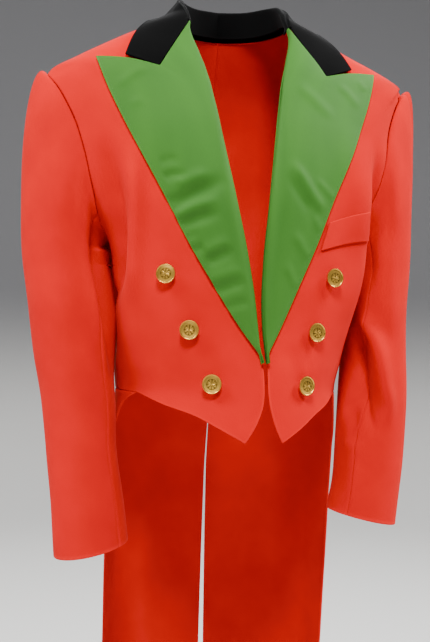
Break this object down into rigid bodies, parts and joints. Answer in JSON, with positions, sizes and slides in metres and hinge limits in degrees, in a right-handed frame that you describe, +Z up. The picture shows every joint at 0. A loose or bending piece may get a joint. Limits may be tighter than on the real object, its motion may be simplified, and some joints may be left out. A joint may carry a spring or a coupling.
{
  "type": "hunting tailcoat",
  "caption": "Child's double-breasted hunting tailcoat, hollow as worn, cut away at the front waist, with peaked satin lapels, velvet collar, breast-pocket welt, metal buttons and tails",
  "frame": {"origin": "between the middles of the two shoulder seams, at the base of the neck, where the coat bears on its wearer", "axes": "+Z up, -Y the coat's front, +X the wearer's left"},
  "size_m": [0.4101, 0.2478, 0.8319],
  "materials": {
    "scarlet_wool": "smooth milled wool",
    "green_satin": "satin",
    "black_velvet": "velvet",
    "gilt_brass": "polished"
  },
  "bodies": {
    "root": {"front_right": "scarlet_wool", "side_right": "scarlet_wool", "back_right": "scarlet_wool", "tail_right": "scarlet_wool", "sleeve_top_right": "scarlet_wool", "sleeve_under_right": "scarlet_wool", "lapel_right": "green_satin", "button_right_1": "gilt_brass", "button_right_2": "gilt_brass", "button_right_3": "gilt_brass", "front_left": "scarlet_wool", "side_left": "scarlet_wool", "back_left": "scarlet_wool", "tail_left": "scarlet_wool", "sleeve_top_left": "scarlet_wool", "sleeve_under_left": "scarlet_wool", "lapel_left": "green_satin", "button_left_1": "gilt_brass", "button_left_2": "gilt_brass", "button_left_3": "gilt_brass", "collar": "black_velvet", "pocket_welt": "scarlet_wool"}
  },
  "joints": []
}
